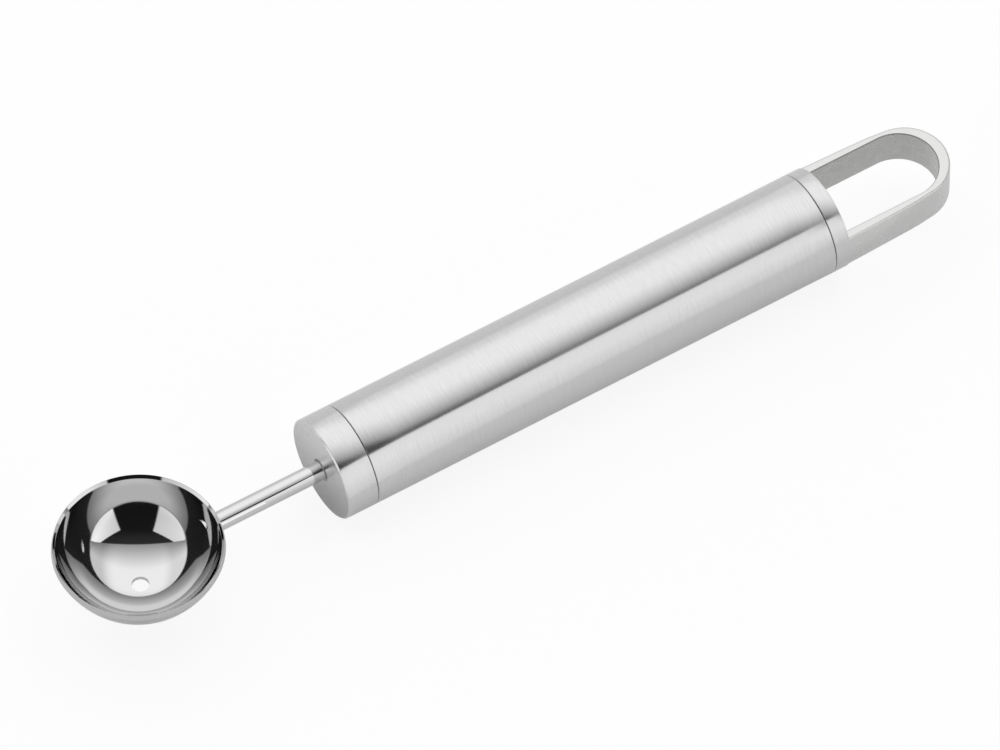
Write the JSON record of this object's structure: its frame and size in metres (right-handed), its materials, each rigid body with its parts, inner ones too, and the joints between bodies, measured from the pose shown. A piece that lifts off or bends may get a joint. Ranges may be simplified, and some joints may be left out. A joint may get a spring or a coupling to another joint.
{
  "type": "melon baller",
  "caption": "Hand scoop with a sharpened round bowl on a thin stem, set in a hollow round handle with a flat hanging loop.",
  "frame": {"origin": "on the handle's axis, half way along the handle tube", "axes": "+X along the handle towards the hanging loop, +Z towards the open side of the bowl"},
  "size_m": [0.179, 0.03, 0.019],
  "materials": {
    "polished_steel": "mirror polished",
    "weld_steel": "blended weld",
    "stem_steel": "fine polished",
    "satin_steel": "satin turned",
    "pin_steel": "ground",
    "adhesive": "cured",
    "brushed_steel": "fine brushing round the tube"
  },
  "bodies": {
    "root": {"bowl": "polished_steel", "bowl_weld": "weld_steel", "stem": "stem_steel", "front_cap": "satin_steel", "stem_pin": "pin_steel", "front_bond": "adhesive", "handle_tube": "brushed_steel", "rear_bond": "adhesive", "end_cap": "satin_steel"}
  },
  "joints": []
}
